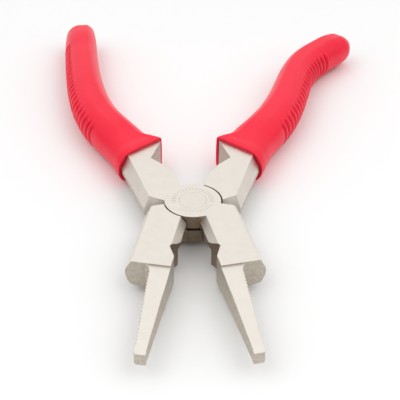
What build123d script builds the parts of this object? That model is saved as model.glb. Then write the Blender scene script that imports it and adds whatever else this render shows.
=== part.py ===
"""Long-nose welding pliers: two forged halves in a lap joint, one rivet and two sleeve grips.

Millimetres. The shapes are drawn with the jaws closed and the joint's mid-plane at z = 0, noses towards -Y
and handles towards +Y. Each half is then turned about the rivet to its rest angle and lifted so that the
joint's underside lies on z = 0. Each jaw and shank is drawn on the right, +X, and mirrored for the left.
The upper half owns the right jaw and the left handle, and the lower half the left jaw and right handle.
"""
from build123d import *
import math
import os

# Joint
JOINT_HALF = 5.1            # half of the joint's thickness
DISC_R = 9.35               # lap disc of each half
DISC_GAP = 0.5              # between a disc and the shoulders of the other half
LAP_GAP = 0.15              # between the two discs' flat faces
LAP_BEVEL = 0.4             # off each disc's rim beside the other disc
REST_ANGLE = 12.0           # each half's turn from closed at rest
RIVET_R = 3.0
RIVET_CLEARANCE = 0.05      # radial, in the upper half, which turns on the rivet
HEAD_R = 4.5                # flush countersunk heads
HEAD_RIM = 0.3              # straight rim of each head
HEAD_DEPTH = 1.6
MARK_R = 6.35               # ring of plain stamped ticks around the rivet's upper head
MARK_SIZE = (1.4, 0.35)     # length along the radius and width of a tick
MARK_DEPTH = 0.07
MARK_ARCS = ((-18, 20), (216, 11))  # first tick in degrees from +X and number of ticks, in two arcs
MARK_STEP = 10.4
REACH = 7.0                 # taller than any half thickness, for cuts that go right through

# Jaw block, from the joint to the shoulder
JAW_GAP = 0.3               # from the closing plane to each gripping face
SHOULDER_Y = -35.3
CUTTER_TOP_X = 2.25         # where the cutter's bevel leaves the flat top
CUTTER_EDGE_X = 0.2
CUTTER_EDGE_Z = 2.7
CUTTER_END_Y = -20.0
NOTCH_LIP = (0.8, -21.8)
NOTCH_VALLEY = (2.72, -25.4)
NOTCH_END_Y = -30.3
POCKET_CENTRE = (-1.5, -15.7)
POCKET_R = 6.5              # round relief under the cutter
POCKET_ROOF_Z = (1.0, 2.3)
POCKET_ROOF_R = 3.5
BLOCK_TOP_X = 12.75         # edge of the flat top
BLOCK_BULGE_X = 14.7        # widest point of the rounded outer side
BLOCK_UNDER = 4.4           # the underside's outer part lies this far below the mid-plane
PAD_X = 5.6                 # edge of the flat pad under the cutter and notch, as low as the joint
BLOCK_LIMIT_X = 16.0        # the plan's outer edge, outside the rounded side

# Nose
TIP_Y = -71.65
TIP_HALF = 1.95             # half thickness at the tip
ROOT_HALF = 4.55            # half thickness at the shoulder
NOSE_TIP_X = 3.7
NOSE_FLARE = (6.7, -37.3)   # where the straight rasp edge meets the root's flare
NOSE_ROOT_X = 8.2
NOSE_OVERLAP = 1.0          # how far the nose's solid runs into the block
TIP_CHAMFER = (0.45, 0.7)   # off the tip's outer corner, across and along
RASP_PITCH = 1.4
RASP_DEPTH = 0.4
RASP_FLAT = 0.15            # share of a pitch left flat between two nicks
RASP_ROOT = 0.45            # share of a pitch from a nick's start to its deepest point
RASP_SPAN = (-37.7, -69.0)
TOOTH_PITCH = 1.1
TOOTH_DEPTH = 0.22
TOOTH_ROOT = 0.3            # share of a pitch from a tooth's start to its root
TOOTH_SPAN = (-46.0, -70.8)

# Handles
RIDGE_R = 3.0               # rounding of the ridge along a shank's outer side
TANG_HALF = 3.2             # half thickness of the steel inside a grip
TANG_WIDTH = 7.0
TANG_TAPER = 0.4            # share of its size that a tang loses towards its end
TANG_ROUND = 1.5

# Grip stations from mouth to end, drawn on the right: centre x, centre y, heading in degrees from +Y towards
# +X, width and half thickness.
BOW_GRIP = [
    (10.75, 34.2, 28.0, 20.1, 6.25),
    (12.65, 39.4, 22.0, 18.4, 6.5),
    (14.4, 45.2, 18.0, 17.3, 6.7),
    (17.0, 53.1, 16.0, 16.6, 7.0),
    (19.9, 62.9, 11.5, 16.0, 7.0),
    (21.4, 74.0, 5.0, 15.3, 7.0),
    (21.55, 87.0, -1.0, 14.5, 7.0),
    (20.7, 100.5, -5.0, 13.7, 6.9),
    (19.1, 115.2, -7.0, 13.2, 6.7),
    (17.1, 130.3, -7.0, 12.8, 6.5),
    (16.2, 135.6, -7.0, 11.8, 5.6),
    (15.0, 138.8, -7.0, 9.6, 3.6),
]
HOOK_GRIP = [
    (10.45, 34.2, 28.0, 20.7, 6.25),
    (12.25, 39.7, 22.0, 18.9, 6.5),
    (13.9, 46.2, 20.0, 17.4, 6.7),
    (17.1, 55.1, 18.5, 16.3, 7.0),
    (20.1, 65.0, 13.0, 15.8, 7.0),
    (22.0, 75.5, 8.0, 15.1, 7.0),
    (23.2, 88.2, 4.5, 14.4, 7.0),
    (24.1, 98.2, 8.0, 14.0, 7.0),
    (26.6, 108.7, 20.0, 14.2, 6.9),
    (31.3, 117.9, 30.0, 13.9, 6.8),
    (36.5, 125.8, 32.0, 13.0, 6.6),
    (39.1, 129.5, 32.0, 11.4, 5.6),
    (40.8, 132.1, 32.0, 7.4, 3.6),
]
OUTER_CROWN = 0.38          # share of a grip's width taken by the rounding of its outer side
INNER_CROWN = (0.01, 0.26)  # the same for its inner side, at the mouth and from the third station on


def polygon(points):
    return make_face(Polyline(*points, close=True))


def prism(face, low=-REACH, high=REACH):
    """A face drawn in XY, extruded from z = low to z = high."""
    return Pos(0, 0, low) * extrude(face, high - low, dir=(0, 0, 1))


def cylinder(radius, low, high):
    return Pos(0, 0, low) * Cylinder(radius, high - low, align=(Align.CENTER, Align.CENTER, Align.MIN))


def block_plan():
    """The block between joint and shoulder seen from above: cutter, notch, tooth, shoulder, back corner."""
    return polygon([
        (CUTTER_EDGE_X, -8.6),
        (CUTTER_EDGE_X, CUTTER_END_Y),
        NOTCH_LIP,
        NOTCH_VALLEY,
        (JAW_GAP, NOTCH_END_Y),
        (JAW_GAP, SHOULDER_Y),
        (BLOCK_LIMIT_X, SHOULDER_Y),
        (BLOCK_LIMIT_X, -10.6),
        (13.0, -6.6),
        (12.3, -5.5),
        (9.1, -3.9),
        (7.6, -3.5),
        (6.0, -5.0),
    ])


def block_section():
    """The block's cross-section, x across and z up: flat top, bevel, and a side that rounds under."""
    bevel = (13.35, 3.95)
    under = (9.6, -BLOCK_UNDER)
    pad, pad_edge = (PAD_X, -JOINT_HALF), (PAD_X + JOINT_HALF - BLOCK_UNDER, -BLOCK_UNDER)
    return make_face([
        Polyline(under, pad_edge, pad, (0, -JOINT_HALF), (0, JOINT_HALF), (BLOCK_TOP_X, JOINT_HALF), bevel),
        Spline(bevel, (BLOCK_BULGE_X, 0.9), (13.55, -3.1), under, tangents=[(1.1, -1.6), (-2.4, -0.35)]),
    ])


def cutter_bevel():
    """The wedge of metal taken off above the cutting edge, out as far as the notch."""
    rise = JOINT_HALF - CUTTER_EDGE_Z
    run = CUTTER_TOP_X - CUTTER_EDGE_X
    over = 1.0
    wedge = polygon([
        (CUTTER_EDGE_X - over, CUTTER_EDGE_Z - over * rise / run),
        (CUTTER_TOP_X + over, JOINT_HALF + over * rise / run),
        (CUTTER_EDGE_X - over, JOINT_HALF + over * rise / run),
    ])
    start = DISC_R
    return Pos(0, -start, 0) * extrude(Plane.XZ * wedge, -NOTCH_VALLEY[1] - start, dir=(0, -1, 0))


def cutter_pocket():
    """The round relief under the cutter, with a conical roof that leaves a wedge-shaped edge."""
    roof_low, roof_high = POCKET_ROOF_Z
    well = cylinder(POCKET_R, -REACH, roof_low)
    roof = Pos(0, 0, roof_low) * Cone(
        POCKET_R, POCKET_ROOF_R, roof_high - roof_low, align=(Align.CENTER, Align.CENTER, Align.MIN))
    return Pos(*POCKET_CENTRE, 0) * (well + roof)


def nose_plan():
    """The nose seen from above, with the rasp in its outer edge and fine teeth in its gripping face."""
    slope = (NOSE_FLARE[0] - NOSE_TIP_X) / (NOSE_FLARE[1] - TIP_Y)

    def edge_x(y):
        return NOSE_FLARE[0] - slope * (NOSE_FLARE[1] - y)

    back_y = SHOULDER_Y + NOSE_OVERLAP
    points = [(JAW_GAP, back_y), (JAW_GAP, TOOTH_SPAN[0])]
    for i in range(int((TOOTH_SPAN[0] - TOOTH_SPAN[1]) / TOOTH_PITCH)):
        y = TOOTH_SPAN[0] - i * TOOTH_PITCH
        points.append((JAW_GAP + TOOTH_DEPTH, y - TOOTH_ROOT * TOOTH_PITCH))
        points.append((JAW_GAP, y - TOOTH_PITCH))
    across, along = TIP_CHAMFER
    points += [(JAW_GAP, TIP_Y), (NOSE_TIP_X - across, TIP_Y), (edge_x(TIP_Y + along), TIP_Y + along)]
    for i in reversed(range(int((RASP_SPAN[0] - RASP_SPAN[1]) / RASP_PITCH))):
        y = RASP_SPAN[0] - i * RASP_PITCH
        nick_end = y - (1 - RASP_FLAT) * RASP_PITCH
        points.append((edge_x(nick_end), nick_end))
        points.append((edge_x(y) - RASP_DEPTH, y - RASP_ROOT * RASP_PITCH))
        points.append((edge_x(y), y))
    points.append(NOSE_FLARE)
    root = (NOSE_ROOT_X, SHOULDER_Y)
    flare = ThreePointArc(NOSE_FLARE, (7.1, -36.2), root)
    return make_face([Polyline(*points), flare, Polyline(root, (NOSE_ROOT_X, back_y), points[0])])


def nose():
    """The tapered nose: the plan above, thinned from shoulder to tip."""
    back_y = SHOULDER_Y + NOSE_OVERLAP
    side = polygon([
        (back_y, ROOT_HALF), (SHOULDER_Y, ROOT_HALF), (TIP_Y, TIP_HALF),
        (TIP_Y, -TIP_HALF), (SHOULDER_Y, -ROOT_HALF), (back_y, -ROOT_HALF),
    ])
    return prism(nose_plan()) & extrude(Plane.YZ * side, BLOCK_TOP_X, dir=(1, 0, 0))


def jaw():
    """The right jaw: block with its cutter and notch, and the nose."""
    block = prism(block_plan()) & extrude(Plane.XZ * block_section(), -TIP_Y, dir=(0, -1, 0))
    return block - cutter_bevel() - cutter_pocket() + nose()


def shank():
    """The right handle's bare steel, from the joint to inside the grip's mouth.

    Its outer side is two flats that meet in a rounded ridge at the mid-plane.
    """
    inner = [(5.0, 1.0), (2.1, 4.0), (2.1, 9.8), (2.5, 17.0), (4.9, 23.0), (8.2, 28.2), (2.6, 38.0)]
    flat = inner + [(6.4, 42.4), (16.2, 38.2), (13.6, 5.9), (9.1, 2.1)]
    ridge = inner + [(6.4, 42.4), (19.9, 36.2), (15.9, 4.0), (9.1, 2.1)]
    sections = [Pos(0, 0, z) * polygon(outline) for z, outline in
                ((-JOINT_HALF, flat), (0, ridge), (JOINT_HALF, flat))]
    body = loft(sections, ruled=True)
    outermost = body.edges().filter_by(lambda edge: abs(edge.center().Z) < LAP_GAP).sort_by(Axis.X)[-1]
    return fillet(outermost, RIDGE_R)


def station_plane(station):
    """The plane across a grip: local x towards the outer side, local y up."""
    x, y, heading = station[:3]
    turn = math.radians(heading)
    along = (math.sin(turn), math.cos(turn), 0)
    return Plane(origin=(x, y, 0), x_dir=(along[1], -along[0], 0), z_dir=(-along[0], -along[1], 0))


def grip_section(station, inner_crown):
    """A flat top and bottom joined by two bowed sides, the outer one almost a half circle."""
    width, half = station[3:]
    outer, inner = width / 2, -width / 2
    outer_flat, inner_flat = outer - OUTER_CROWN * width, inner + inner_crown * width
    return station_plane(station) * make_face([
        Line((inner_flat, half), (outer_flat, half)),
        ThreePointArc((outer_flat, half), (outer, 0), (outer_flat, -half)),
        Line((outer_flat, -half), (inner_flat, -half)),
        ThreePointArc((inner_flat, -half), (inner, 0), (inner_flat, half)),
    ])


def grip_outside(stations):
    """A grip's outer shape, lofted through its stations."""
    mouth, rest = INNER_CROWN
    crowns = [mouth, (mouth + rest) / 2] + [rest] * (len(stations) - 2)
    return loft([grip_section(station, crown) for station, crown in zip(stations, crowns)])


def tang(stations):
    """The steel inside a grip: a tapering bar down its middle, two thirds of the way to its end."""
    count = 2 * len(stations) // 3
    sections = []
    for i, station in enumerate(stations[1:count]):
        size = 1 - TANG_TAPER * i / count
        bar = RectangleRounded(TANG_WIDTH * size, 2 * TANG_HALF * size, TANG_ROUND)
        sections.append(station_plane(station) * bar)
    return loft(sections)


def layer_cut(upper):
    """What a half gives up around the other half's disc."""
    radius = DISC_R + DISC_GAP
    return cylinder(radius, -REACH, LAP_GAP / 2) if upper else cylinder(radius, -LAP_GAP / 2, REACH)


def disc(upper):
    """A half's disc of the lap joint, drawn lying on the mid-plane and turned over for the lower half."""
    start = LAP_GAP / 2
    rim = Pos(0, 0, start) * Cone(
        DISC_R - LAP_BEVEL, DISC_R, LAP_BEVEL, align=(Align.CENTER, Align.CENTER, Align.MIN))
    shape = rim + cylinder(DISC_R, start + LAP_BEVEL, JOINT_HALF)
    return shape if upper else Rot(180, 0, 0) * shape


def rivet_blank(clearance):
    """The rivet's shape, or with a clearance the hole for it: shank and two flush countersunk heads."""
    flare = HEAD_DEPTH - HEAD_RIM
    shape = cylinder(RIVET_R + clearance, -JOINT_HALF, JOINT_HALF)
    for side in (1, -1):
        rim_z = side * (JOINT_HALF - HEAD_RIM / 2)
        shape += Pos(0, 0, rim_z) * Cylinder(HEAD_R + clearance, HEAD_RIM)
        narrow, wide = RIVET_R + clearance, HEAD_R + clearance
        cone_z = side * (JOINT_HALF - HEAD_RIM - flare / 2)
        shape += Pos(0, 0, cone_z) * (Cone(narrow, wide, flare) if side > 0 else Cone(wide, narrow, flare))
    return shape


def stamped_ring():
    """The shallow ticks stamped in the upper disc, in two arcs around the rivet."""
    length, width = MARK_SIZE
    ticks = []
    for first, count in MARK_ARCS:
        for i in range(count):
            spoke = Rot(0, 0, first + i * MARK_STEP) * Pos(MARK_R, 0, JOINT_HALF)
            ticks.append(spoke * Box(length, width, 2 * MARK_DEPTH))
    return Compound(ticks)


def half(upper, stations):
    """One forging: jaw on one side, shank and tang on the other, and its disc of the lap joint."""
    mirrored = Plane.YZ
    own_jaw = jaw() if upper else mirror(jaw(), mirrored)
    handle = shank() + tang(stations)
    own_handle = mirror(handle, mirrored) if upper else handle
    clearance = RIVET_CLEARANCE if upper else 0.0
    body = (own_jaw + own_handle) - layer_cut(upper) + disc(upper) - rivet_blank(clearance)
    return body - stamped_ring() if upper else body


def place(shape, upper):
    """From closed to rest: turned about the rivet, and lifted so that the joint's underside is z = 0."""
    return Pos(0, 0, JOINT_HALF) * Rot(0, 0, REST_ANGLE if upper else -REST_ANGLE) * shape


def build():
    upper = half(True, BOW_GRIP)
    lower = half(False, HOOK_GRIP)
    left_grip = mirror(grip_outside(BOW_GRIP), Plane.YZ) - upper
    right_grip = grip_outside(HOOK_GRIP) - lower
    return {
        "upper_half": place(upper, True),
        "lower_half": place(lower, False),
        "pivot_rivet": place(rivet_blank(0.0), False),
        "left_grip": place(left_grip, True),
        "right_grip": place(right_grip, False),
    }


os.makedirs("parts", exist_ok=True)
for name, shape in build().items():
    export_step(shape, f"parts/{name}.step")
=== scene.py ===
"""Looks of the long-nose welding pliers: materials, moulded grips, floor, light and camera."""
import math

import bmesh
import bpy
import numpy as np
from mathutils import Matrix, Vector


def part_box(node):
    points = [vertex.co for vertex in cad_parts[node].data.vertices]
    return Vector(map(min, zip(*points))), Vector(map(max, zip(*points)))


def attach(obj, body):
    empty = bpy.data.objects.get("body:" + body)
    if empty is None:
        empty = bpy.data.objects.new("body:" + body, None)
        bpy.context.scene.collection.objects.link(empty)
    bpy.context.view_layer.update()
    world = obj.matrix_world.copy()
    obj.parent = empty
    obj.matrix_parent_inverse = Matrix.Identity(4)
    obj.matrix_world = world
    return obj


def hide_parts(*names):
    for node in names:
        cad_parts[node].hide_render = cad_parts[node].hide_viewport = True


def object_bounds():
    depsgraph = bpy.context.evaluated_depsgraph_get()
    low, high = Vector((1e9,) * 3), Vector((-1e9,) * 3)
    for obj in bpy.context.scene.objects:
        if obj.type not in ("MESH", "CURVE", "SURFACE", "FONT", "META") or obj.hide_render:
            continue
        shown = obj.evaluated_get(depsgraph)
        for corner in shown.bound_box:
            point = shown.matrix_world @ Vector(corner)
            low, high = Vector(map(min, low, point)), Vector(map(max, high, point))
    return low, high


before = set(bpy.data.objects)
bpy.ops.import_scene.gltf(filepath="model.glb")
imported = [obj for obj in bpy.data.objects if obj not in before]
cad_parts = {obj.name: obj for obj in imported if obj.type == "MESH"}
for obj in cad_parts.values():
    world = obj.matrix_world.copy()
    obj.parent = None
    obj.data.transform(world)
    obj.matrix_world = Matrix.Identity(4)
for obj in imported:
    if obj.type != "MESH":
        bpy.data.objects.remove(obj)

MM = 0.001
CAD_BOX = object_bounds()
JOINT_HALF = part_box("pivot_rivet")[1].z / 2     # the joint's mid-plane above its underside
REST_ANGLE = math.radians(12)                   # each half's turn from closed at rest

# Grips, drawn on the right with the handles closed, in millimetres. Stations from mouth to end: centre x,
# centre y, heading in degrees from +Y towards +X, width and half thickness.
BOW_GRIP = [
    (10.75, 34.2, 28.0, 20.1, 6.25),
    (12.65, 39.4, 22.0, 18.4, 6.5),
    (14.4, 45.2, 18.0, 17.3, 6.7),
    (17.0, 53.1, 16.0, 16.6, 7.0),
    (19.9, 62.9, 11.5, 16.0, 7.0),
    (21.4, 74.0, 5.0, 15.3, 7.0),
    (21.55, 87.0, -1.0, 14.5, 7.0),
    (20.7, 100.5, -5.0, 13.7, 6.9),
    (19.1, 115.2, -7.0, 13.2, 6.7),
    (17.1, 130.3, -7.0, 12.8, 6.5),
    (16.2, 135.6, -7.0, 11.8, 5.6),
    (15.0, 138.8, -7.0, 9.6, 3.6),
]
HOOK_GRIP = [
    (10.45, 34.2, 28.0, 20.7, 6.25),
    (12.25, 39.7, 22.0, 18.9, 6.5),
    (13.9, 46.2, 20.0, 17.4, 6.7),
    (17.1, 55.1, 18.5, 16.3, 7.0),
    (20.1, 65.0, 13.0, 15.8, 7.0),
    (22.0, 75.5, 8.0, 15.1, 7.0),
    (23.2, 88.2, 4.5, 14.4, 7.0),
    (24.1, 98.2, 8.0, 14.0, 7.0),
    (26.6, 108.7, 20.0, 14.2, 6.9),
    (31.3, 117.9, 30.0, 13.9, 6.8),
    (36.5, 125.8, 32.0, 13.0, 6.6),
    (39.1, 129.5, 32.0, 11.4, 5.6),
    (40.8, 132.1, 32.0, 7.4, 3.6),
]
OUTER_CROWN = 0.38          # share of the width taken by the rounding of the outer side
INNER_CROWN = (0.01, 0.26)  # the same for the inner side, at the mouth and past the collar
CROWN_LENGTH = 11.0         # along the grip, from the one inner crown to the other
RING_STEP = 0.25            # along the grip
RING_POINTS = 88
CORNER_PASSES = 3           # smoothing passes that round the section's corners
WALLS = (1.1, 2.6)          # wall at the mouth, on the inner side and on the outer
WALL_GROWTH = 0.4           # share of the width in which the wall grows from the one to the other
LIP_ROUND = 0.14
LIP_CORNER = 0.3            # share of the lip's rounding left at its middle
MOUTH_DEPTH = 3.0           # how far the mouth's inner wall runs in beside the steel
COLLAR_STEP = 0.35          # how far the collar at the mouth stands above the grip behind it
COLLAR_END = (1.6, 5.6)     # from the mouth, where the collar falls to the lower grip behind it
COLLAR_FADE = (7.0, 19.0)   # from the mouth, where the grip comes back up to its full size
COLLAR_SIDE = (0.1, 0.3)    # share of the width, from the inner side, in which the collar begins
RIB_PITCH = 3.0
RIB_DEPTH = 1.35
RIB_PROUD = 0.25            # how far the ribs' crests stand above the smooth side
RIB_SHARPNESS = 1.9         # the higher, the narrower the grooves
RIB_REACH = (0.63, 0.77)    # share of the half thickness between which the ribs fade out
RIB_START = (22.5, 23.3)    # from the mouth, where the ribs come in
RIB_STOP = (18.0, 18.8)     # from the grip's end, where they go out
FIRST_GROOVE = 23.0         # from the mouth
END_DOME = 0.5              # height of the shallow dome over the end
END_RINGS = ((0.9, 0.35), (0.7, 0.7), (0.4, 0.93))  # the dome's rings: share of the size, share of the height

# Steel colours, linear
GROUND = (0.89, 0.835, 0.76)
RIVET_GROUND = (0.88, 0.82, 0.745)
FORGED = (0.62, 0.565, 0.485)
# painted shade: the brown of the recessed throat
THROAT_PAINTED_SHADE = (0.34, 0.26, 0.19)
# painted shadow: the black of the groove between the two discs
LAP_PAINTED_SHADOW = (0.02, 0.016, 0.012)

# Textures: the noise's scale and detail, then two stops, each a position and a grey
MOTTLE = (300.0, 6.0, (0.3, 0.965), (0.6, 1.0))
FORGE_SCALE = (1100.0, 6.0, (0.35, 0.84), (0.6, 1.0))
PITS = (1500.0, 2.0, (0.72, 1.0), (0.8, 0.82))
STEEL_SPREAD = (900.0, 4.0, (0.3, 0.0), (0.7, 0.06))        # added to the steel's roughness
VINYL_ROUGHNESS = (500.0, 3.0, (0.3, 0.30), (0.7, 0.38))

# Surface details, in millimetres
EDGE_ROUND = 0.18
STEEL_SHADE_REACH = 1.5         # how near another face must come for painted shade on the steel
VINYL_SHADE_REACH = 1.4         # the same painted shade for the vinyl
BUMP_HEIGHT = 0.02          # of the steel's grain and the vinyl's orange peel

# Ellipsoids on the joint's mid-plane where the steel is painted darker, as painted shade, in millimetres: the
# centre's y, the reach in x, y and z, and the share of the reach where the fade starts.
THROAT_SHADE_ZONE = (-19.0, (9.5, 12.0, 20.0), 0.88)       # painted shade in the recess between the cutters and notches
LAP_SHADOW_ZONE = (0.0, (9.45, 9.45, 3.3), 0.998)    # painted shadow in the groove of the bevelled rims between the two discs

# Studio, in metres, watts and degrees
FLOOR_HALF = 3.0
BRIGHT_SIDE = (0.05, 0.85, 0.5)     # direction of the brightest part of the surroundings
SURROUNDINGS = (0.22, 0.92)         # their brightness, away from it and towards it
LIGHTS = [                          # square area lights that face the joint: name, place, size and power
    ("left", (-1.0, -0.3, 1.0), 1.5, 7.0),
    ("right", (1.0, -0.3, 1.0), 1.5, 7.0),
    ("top", (0.0, -0.4, 1.2), 2.4, 8.5),
]
CAMERA_PLACE = (-0.0102, -0.2907, 0.2154)
CAMERA_YAW = 2.475                  # from +Y towards +X
CAMERA_PITCH = 35.18                # looking down
CAMERA_ROLL = 0.92
CAMERA_LENS = 97.3                  # millimetres, on a sensor 36 mm wide


def smooth_step(x, start=0.0, end=1.0):
    """Rises smoothly from 0 at start to 1 at end."""
    x = np.clip((x - start) / (end - start), 0.0, 1.0)
    return x * x * (3 - 2 * x)


def spline_rows(stations):
    """Rows interpolated between stations at RING_STEP, and each row's length from the mouth."""
    rows = np.array(stations, float)
    gaps = np.hypot(*np.diff(rows[:, :2], axis=0).T)
    knots = np.concatenate([[0.0], np.cumsum(gaps)])
    slopes = np.gradient(rows, knots, axis=0)
    along = np.linspace(0.0, knots[-1], int(knots[-1] / RING_STEP))
    piece = np.clip(np.searchsorted(knots, along, side="right") - 1, 0, len(gaps) - 1)
    h = gaps[piece][:, None]
    t = ((along - knots[piece])[:, None]) / h
    made = ((1 + 2 * t) * (1 - t) ** 2 * rows[piece] + t * (1 - t) ** 2 * h * slopes[piece]
            + t * t * (3 - 2 * t) * rows[piece + 1] + t * t * (t - 1) * h * slopes[piece + 1])
    return made, along


def arc_points(a, middle, b, count):
    """count points along the arc from a through middle to b, without b."""
    chord, sagitta = np.linalg.norm(b - a), np.linalg.norm(middle - (a + b) / 2)
    radius = (chord ** 2 / 4 + sagitta ** 2) / (2 * sagitta)
    inward = ((a + b) / 2 - middle) / sagitta
    centre = middle + inward * radius
    half_turn = 2 * math.atan2(2 * sagitta, chord)
    sense = np.sign(np.cross(a - centre, middle - centre))
    angles = np.linspace(-half_turn, half_turn, count, endpoint=False) * sense
    spoke = middle - centre
    return np.array([centre + (spoke[0] * math.cos(w) - spoke[1] * math.sin(w),
                               spoke[0] * math.sin(w) + spoke[1] * math.cos(w)) for w in angles])


def section(width, half, inner_crown):
    """A closed section's points: along the top outwards, round the outer side, back, up the inner side."""
    outer, inner = width / 2, -width / 2
    outer_flat, inner_flat = outer - OUTER_CROWN * width, inner + inner_crown * width
    quarter = RING_POINTS // 4
    corners = [(inner_flat, half), (outer_flat, half), (outer_flat, -half), (inner_flat, -half)]
    inner_top, outer_top, outer_low, inner_low = (np.array(corner) for corner in corners)
    top = np.linspace(inner_top, outer_top, quarter, endpoint=False)
    outer_side = arc_points(outer_top, np.array((outer, 0.0)), outer_low, quarter)
    bottom = np.linspace(outer_low, inner_low, quarter, endpoint=False)
    inner_side = arc_points(inner_low, np.array((inner, 0.0)), inner_top, quarter)
    points = np.vstack([top, outer_side, bottom, inner_side])
    for _ in range(CORNER_PASSES):
        points = (np.roll(points, 1, axis=0) + 2 * points + np.roll(points, -1, axis=0)) / 4
    return points


def outward(points):
    """The unit normals of a section."""
    tangent = np.roll(points, -1, axis=0) - np.roll(points, 1, axis=0)
    normal = np.stack([-tangent[:, 1], tangent[:, 0]], axis=1)
    normal /= np.linalg.norm(normal, axis=1)[:, None]
    return normal


def rib_depth(points, along, length):
    """How deep each point of a ring lies under the smooth surface, from the ribs on the outer side."""
    inside = smooth_step(along, *RIB_START) * smooth_step(length - along, *RIB_STOP)
    phase = (along - FIRST_GROOVE) / RIB_PITCH
    groove = (1 - abs(math.sin(math.pi * phase))) ** RIB_SHARPNESS
    reach = 1 - smooth_step(np.abs(points[:, 1]) / points[:, 1].max(), *RIB_REACH)
    outer_side = points[:, 0] > 0
    return (RIB_DEPTH * groove - RIB_PROUD) * inside * reach * outer_side


def grip_rings(stations):
    """The rings of one closed-handle grip, from inside the mouth over the lip to the end.

    Each is a row of the spline, a shift along the path and the section's points.
    """
    rows, lengths = spline_rows(stations)
    mouth_crown, rest_crown = INNER_CROWN
    outline = []
    for row, along in zip(rows, lengths):
        crown = mouth_crown + (rest_crown - mouth_crown) * smooth_step(along / CROWN_LENGTH)
        points = section(row[3], row[4], crown)
        normal = outward(points)
        share = points[:, 0] / row[3] + 0.5
        collar = COLLAR_STEP * smooth_step(along, *COLLAR_END) * (1 - smooth_step(along, *COLLAR_FADE))
        depth = collar * smooth_step(share, *COLLAR_SIDE) + rib_depth(points, along, lengths[-1])
        outline.append((row, along, points - normal * depth[:, None], normal))
    first_row, _, first_points, first_normal = outline[0]
    share = first_points[:, :1] / first_row[3] + 0.5
    inner_wall, outer_wall = WALLS
    wall = inner_wall + (outer_wall - inner_wall) * smooth_step(share / WALL_GROWTH)
    corner = LIP_CORNER * LIP_ROUND
    lip = [
        (MOUTH_DEPTH, wall),
        (LIP_ROUND, wall),
        (corner, wall - corner),
        (0.0, wall - LIP_ROUND),
        (0.0, 2 * LIP_ROUND),
        (0.0, LIP_ROUND),
        (corner, corner),
        (LIP_ROUND, 0.0),
    ]
    rings = [(first_row, depth, first_points - first_normal * inset) for depth, inset in lip]
    rings += [(row, 0.0, points) for row, along, points, _ in outline if along > LIP_ROUND]
    return rings


def ring_to_frame(row, shift, points, upper):
    """Section points set across the path, mirrored for the left grip, turned to rest and lifted; metres."""
    heading = math.radians(row[2])
    along = np.array((math.sin(heading), math.cos(heading)))
    across = np.array((along[1], -along[0]))
    centre = np.array(row[:2]) + along * shift
    plan = centre + points[:, :1] * across
    if upper:
        plan = plan * (-1, 1)
    turn = REST_ANGLE if upper else -REST_ANGLE
    c, s = math.cos(turn), math.sin(turn)
    x, y = plan[:, 0] * c - plan[:, 1] * s, plan[:, 0] * s + plan[:, 1] * c
    return np.stack([x * MM, y * MM, points[:, 1] * MM + JOINT_HALF], axis=1)


def close_end(rings):
    """The rings with a shallow dome's rings added over the end, and the dome's centre."""
    end = rings[-1]
    centre = end.mean(axis=0)
    inward = rings[-2].mean(axis=0) - centre
    inward *= END_DOME * MM / np.linalg.norm(inward)
    dome = [centre + (end - centre) * scale + inward * (1 - rise) for scale, rise in END_RINGS]
    return rings[:-1] + [end + inward] + dome, centre


def ring_mesh(name, rings, end_centre):
    """A closed mesh over a row of rings, with a fan of faces at each end."""
    count = len(rings[0])
    verts = [tuple(point) for ring in rings for point in ring]
    faces = []
    for start in range(0, (len(rings) - 1) * count, count):
        for j in range(count):
            k = (j + 1) % count
            faces.append((start + j, start + k, start + count + k, start + count + j))
    last = (len(rings) - 1) * count
    inner_cap, outer_cap = len(verts), len(verts) + 1
    verts += [tuple(rings[0].mean(axis=0)), tuple(end_centre)]
    for j in range(count):
        k = (j + 1) % count
        faces.append((inner_cap, k, j))
        faces.append((outer_cap, last + j, last + k))
    mesh = bpy.data.meshes.new(name)
    mesh.from_pydata(verts, [], faces)
    mesh.validate()
    for polygon in mesh.polygons:
        polygon.use_smooth = True
    made = bmesh.new()
    made.from_mesh(mesh)
    bmesh.ops.recalc_face_normals(made, faces=made.faces)
    made.to_mesh(mesh)
    made.free()
    return mesh


def make_grip(name, stations, upper, body, node):
    """One sleeve, in place of its CAD node and riding its body."""
    rings, end_centre = close_end([ring_to_frame(*ring, upper) for ring in grip_rings(stations)])
    mesh = ring_mesh(name, rings, end_centre)
    mesh.materials.append(MATERIALS["red"])
    grip = bpy.data.objects.new(name, mesh)
    bpy.context.scene.collection.objects.link(grip)
    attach(grip, body)
    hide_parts(node)


def shader(name):
    """A new material's nodes, links and principled shader."""
    material = bpy.data.materials.new(name)
    material.use_nodes = True
    tree = material.node_tree
    return material, tree.nodes, tree.links, tree.nodes["Principled BSDF"]


def noise(nodes, links, coords, scale, detail=3.0, stretch=None):
    made = nodes.new("ShaderNodeTexNoise")
    made.inputs["Scale"].default_value = scale
    made.inputs["Detail"].default_value = detail
    if stretch is None:
        links.new(coords, made.inputs["Vector"])
        return made.outputs["Fac"]
    mapping = nodes.new("ShaderNodeMapping")
    mapping.inputs["Scale"].default_value = stretch
    links.new(coords, mapping.inputs["Vector"])
    links.new(mapping.outputs["Vector"], made.inputs["Vector"])
    return made.outputs["Fac"]


def ramp(nodes, links, value, stops):
    made = nodes.new("ShaderNodeValToRGB")
    made.color_ramp.elements[0].position, made.color_ramp.elements[0].color = stops[0]
    made.color_ramp.elements[1].position, made.color_ramp.elements[1].color = stops[-1]
    for position, colour in stops[1:-1]:
        made.color_ramp.elements.new(position).color = colour
    links.new(value, made.inputs["Fac"])
    return made.outputs["Color"]


def bump(nodes, links, height, strength, normal=None):
    made = nodes.new("ShaderNodeBump")
    made.inputs["Distance"].default_value = BUMP_HEIGHT * MM
    made.inputs["Strength"].default_value = strength
    links.new(height, made.inputs["Height"])
    if normal is not None:
        links.new(normal, made.inputs["Normal"])
    return made.outputs["Normal"]


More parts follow.
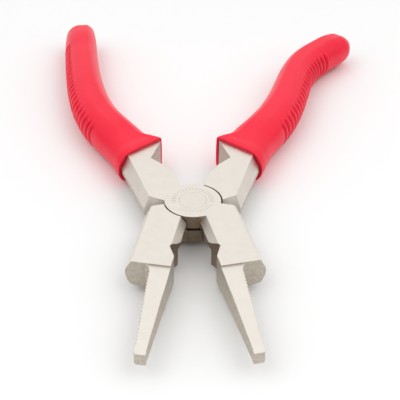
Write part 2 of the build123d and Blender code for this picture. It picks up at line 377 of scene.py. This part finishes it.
def mix(nodes, links, share, a, b, blend="MIX"):
    """Colours a and b mixed by share, each an output socket or a colour."""
    made = nodes.new("ShaderNodeMix")
    made.data_type = "RGBA"
    made.blend_type = blend
    for socket, value in ((made.inputs["Factor"], share), (made.inputs["A"], a), (made.inputs["B"], b)):
        if isinstance(value, bpy.types.NodeSocket):
            links.new(value, socket)
        else:
            socket.default_value = value
    return made.outputs["Result"]


def grey(value):
    return (value, value, value, 1)


def within(nodes, links, coords, y, reach, edge):
    """1 inside an ellipsoid centred on the mid-plane at the given y, 0 outside; millimetres."""
    mapping = nodes.new("ShaderNodeMapping")
    mapping.inputs["Scale"].default_value = [1 / (r * MM) for r in reach]
    mapping.inputs["Location"].default_value = (0, -y / reach[1], -JOINT_HALF / (reach[2] * MM))
    links.new(coords, mapping.inputs["Vector"])
    length = nodes.new("ShaderNodeVectorMath")
    length.operation = "LENGTH"
    links.new(mapping.outputs["Vector"], length.inputs[0])
    return ramp(nodes, links, length.outputs["Value"], [(edge, grey(1)), (1.0, grey(0))])


def crevices(nodes, distance):
    """How open each point is to its surroundings within a distance in millimetres, from 0 to 1."""
    made = nodes.new("ShaderNodeAmbientOcclusion")
    made.samples = 8
    made.inputs["Distance"].default_value = distance * MM
    return made.outputs["AO"]


def speckle(nodes, links, coords, scale, detail, *stops):
    """A grey noise texture, with each stop a position and a grey."""
    greys = [(position, grey(value)) for position, value in stops]
    return ramp(nodes, links, noise(nodes, links, coords, scale, detail), greys)


def multiply(nodes, links, a, b):
    return mix(nodes, links, 1.0, a, b, "MULTIPLY")


def steel_colour(nodes, links, coords, facing_up, ground_and_lit, ground):
    """Ground flats and forged sides with painted light on the slopes, painted shade in the throat, wear, a
    painted black shadow in the lap groove and painted shade in crevices.
    """
    # painted shade on the steep faces inside the throat's ellipsoid
    steep = ramp(nodes, links, facing_up, [(0.25, grey(1)), (0.4, grey(0))])
    inside = multiply(nodes, links, within(nodes, links, coords, *THROAT_SHADE_ZONE), steep)
    side = mix(nodes, links, inside, (*FORGED, 1), (*THROAT_PAINTED_SHADE, 1))
    colour = mix(nodes, links, ground_and_lit, side, (*ground, 1))
    worn = mix(nodes, links, ground_and_lit, speckle(nodes, links, coords, *FORGE_SCALE), grey(1))
    colour = multiply(nodes, links, colour, worn)
    colour = multiply(nodes, links, colour, speckle(nodes, links, coords, *PITS))
    # painted shadow in the lap groove
    colour = mix(nodes, links, within(nodes, links, coords, *LAP_SHADOW_ZONE), colour, (*LAP_PAINTED_SHADOW, 1))
    # painted shade: the steel is darker where another face is near
    painted_shade = [(0.15, (0.05, 0.04, 0.03, 1)), (0.55, grey(1))]
    colour = multiply(nodes, links, colour, ramp(nodes, links, crevices(nodes, STEEL_SHADE_REACH), painted_shade))
    return multiply(nodes, links, colour, speckle(nodes, links, coords, *MOTTLE))


def steel(name, ground, roughness):
    """Satin nickel plate, finely grained; the roughness is a pair, on ground flats and on forged sides."""
    material, nodes, links, bsdf = shader(name)
    coords = nodes.new("ShaderNodeTexCoord").outputs["Object"]
    split = nodes.new("ShaderNodeSeparateXYZ")
    links.new(nodes.new("ShaderNodeNewGeometry").outputs["Normal"], split.inputs["Vector"])
    facing_up = split.outputs["Z"]
    # How far a face turns up picks the ground flats' grey or the forged sides' grey, a real difference in
    # finish; slopes in between get in-between greys, painted light that is lighter the more a face turns up.
    ground_and_lit_greys = [(0.05, grey(0)), (0.4, grey(0.7)), (0.7, grey(0.78)), (0.92, grey(1))]
    ground_and_lit = ramp(nodes, links, facing_up, ground_and_lit_greys)
    colour = steel_colour(nodes, links, coords, facing_up, ground_and_lit, ground)
    links.new(colour, bsdf.inputs["Base Color"])
    bsdf.inputs["Metallic"].default_value = 1.0
    low, high = roughness
    rough = mix(nodes, links, ground_and_lit, grey(high), grey(low))
    spread = speckle(nodes, links, coords, *STEEL_SPREAD)
    links.new(mix(nodes, links, 1.0, rough, spread, "ADD"), bsdf.inputs["Roughness"])
    edge = nodes.new("ShaderNodeBevel")
    edge.samples = 6
    edge.inputs["Radius"].default_value = EDGE_ROUND * MM
    grain = noise(nodes, links, coords, 2600.0, 3.0, (1.0, 0.22, 1.0))
    links.new(bump(nodes, links, grain, 0.5, edge.outputs["Normal"]), bsdf.inputs["Normal"])
    return material


def red_vinyl():
    """Soft moulded vinyl: even red with painted shade in its grooves and crevices, a satin skin with a very
    fine orange peel.
    """
    material, nodes, links, bsdf = shader("red_vinyl")
    coords = nodes.new("ShaderNodeTexCoord").outputs["Object"]
    tones = [(0.3, (0.89, 0.006, 0.036, 1)), (0.7, (0.94, 0.010, 0.046, 1))]
    colour = ramp(nodes, links, noise(nodes, links, coords, 70.0, 3.0), tones)
    # painted shade: the vinyl is darker where another face is near
    painted_shade = [(0.45, (0.52, 0.18, 0.28, 1)), (0.9, grey(1))]
    colour = multiply(nodes, links, colour, ramp(nodes, links, crevices(nodes, VINYL_SHADE_REACH), painted_shade))
    links.new(colour, bsdf.inputs["Base Color"])
    links.new(speckle(nodes, links, coords, *VINYL_ROUGHNESS), bsdf.inputs["Roughness"])
    bsdf.inputs["Subsurface Weight"].default_value = 0.08
    bsdf.inputs["Subsurface Radius"].default_value = (1.0, 0.25, 0.15)
    bsdf.inputs["Subsurface Scale"].default_value = 1.0 * MM
    bsdf.inputs["Specular IOR Level"].default_value = 0.3
    peel = noise(nodes, links, coords, 1800.0, 2.0)
    links.new(bump(nodes, links, peel, 0.4), bsdf.inputs["Normal"])
    return material


def pale_floor():
    material, _, _, bsdf = shader("pale_floor")
    bsdf.inputs["Base Color"].default_value = (0.93, 0.93, 0.93, 1)
    bsdf.inputs["Roughness"].default_value = 0.9
    return material


MATERIALS = {
    "steel": steel("satin_nickel", GROUND, (0.36, 0.50)),
    "rivet": steel("rivet_nickel", RIVET_GROUND, (0.33, 0.45)),
    "red": red_vinyl(),
    "floor": pale_floor(),
}


def paint(node, material):
    """Gives a CAD node one material."""
    node.data.materials.clear()
    node.data.materials.append(material)


def add_floor():
    low = CAD_BOX[0].z
    corners = [(-1, -1), (1, -1), (1, 1), (-1, 1)]
    mesh = bpy.data.meshes.new("floor")
    mesh.from_pydata([(x * FLOOR_HALF, y * FLOOR_HALF, low) for x, y in corners], [], [(0, 1, 2, 3)])
    floor = bpy.data.objects.new("floor", mesh)
    bpy.context.scene.collection.objects.link(floor)
    mesh.materials.append(MATERIALS["floor"])


def add_light(name, place, size, power):
    light = bpy.data.lights.new(name, "AREA")
    light.shape = "SQUARE"
    light.size = size
    light.energy = power
    holder = bpy.data.objects.new(name, light)
    bpy.context.scene.collection.objects.link(holder)
    holder.location = place
    holder.rotation_euler = (-Vector(place)).to_track_quat("-Z", "Y").to_euler()


def add_world():
    """Plain surroundings that are brightest behind and above the handles."""
    world = bpy.data.worlds.new("studio")
    world.use_nodes = True
    nodes, links = world.node_tree.nodes, world.node_tree.links
    facing = nodes.new("ShaderNodeVectorMath")
    facing.operation = "DOT_PRODUCT"
    facing.inputs[1].default_value = Vector(BRIGHT_SIDE).normalized()
    links.new(nodes.new("ShaderNodeTexCoord").outputs["Generated"], facing.inputs[0])
    away, towards = SURROUNDINGS
    sky = ramp(nodes, links, facing.outputs["Value"], [(0.1, grey(away)), (0.9, grey(towards))])
    links.new(sky, nodes["Background"].inputs["Color"])
    bpy.context.scene.world = world


def add_camera():
    """In front of the noses and above them, looking down at the joint."""
    camera = bpy.data.cameras.new("camera")
    camera.lens = CAMERA_LENS
    camera.sensor_width = 36.0
    camera.clip_start = 0.01
    holder = bpy.data.objects.new("camera", camera)
    bpy.context.scene.collection.objects.link(holder)
    holder.matrix_world = (
        Matrix.Translation(CAMERA_PLACE)
        @ Matrix.Rotation(-math.radians(CAMERA_YAW), 4, "Z")
        @ Matrix.Rotation(math.radians(90 - CAMERA_PITCH), 4, "X")
        @ Matrix.Rotation(math.radians(CAMERA_ROLL), 4, "Z"))
    bpy.context.scene.camera = holder


for node_name in ("upper_half", "lower_half"):
    paint(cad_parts[node_name], MATERIALS["steel"])
paint(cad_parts["pivot_rivet"], MATERIALS["rivet"])
make_grip("left_sleeve", BOW_GRIP, True, "upper", "left_grip")
make_grip("right_sleeve", HOOK_GRIP, False, "lower", "right_grip")
add_floor()
add_world()
for settings in LIGHTS:
    add_light(*settings)
add_camera()
bpy.context.scene.view_settings.view_transform = "Standard"
